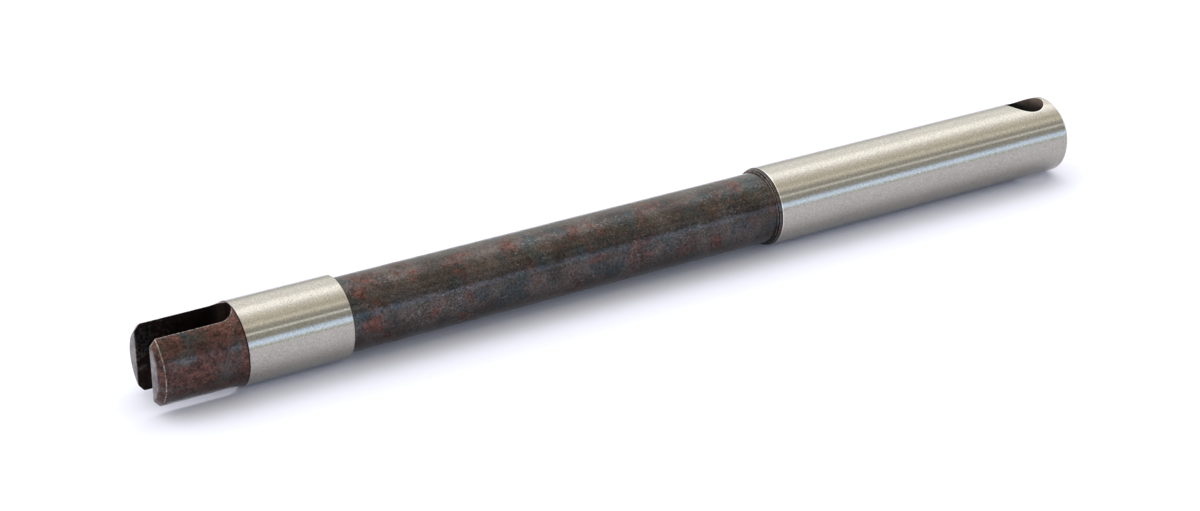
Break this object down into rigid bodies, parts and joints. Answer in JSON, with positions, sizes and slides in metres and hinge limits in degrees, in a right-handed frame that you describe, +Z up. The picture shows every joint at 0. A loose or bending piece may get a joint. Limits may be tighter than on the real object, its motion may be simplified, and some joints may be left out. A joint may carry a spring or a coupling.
{
  "type": "slotted drive shaft",
  "caption": "Straight steel drive shaft with ground front and rear journals, a relieved dark shank, an open driving slot in one end and a cross hole in the other.",
  "frame": {"origin": "on the shaft's axis, halfway between its two ends", "axes": "+X along the shaft from the slotted tip to the cross-drilled end, +Z up in the plane of the driving slot, +Y across the slot"},
  "size_m": [0.182, 0.014, 0.014],
  "materials": {
    "ground_steel": "cylindrically ground, fine lines round the shaft",
    "scaled_steel": "dark grey-brown scale with rust patches, matt"
  },
  "bodies": {
    "root": {"slotted_tip": "scaled_steel", "front_journal": "ground_steel", "centre_shank": "scaled_steel", "rear_journal": "ground_steel"}
  },
  "joints": []
}
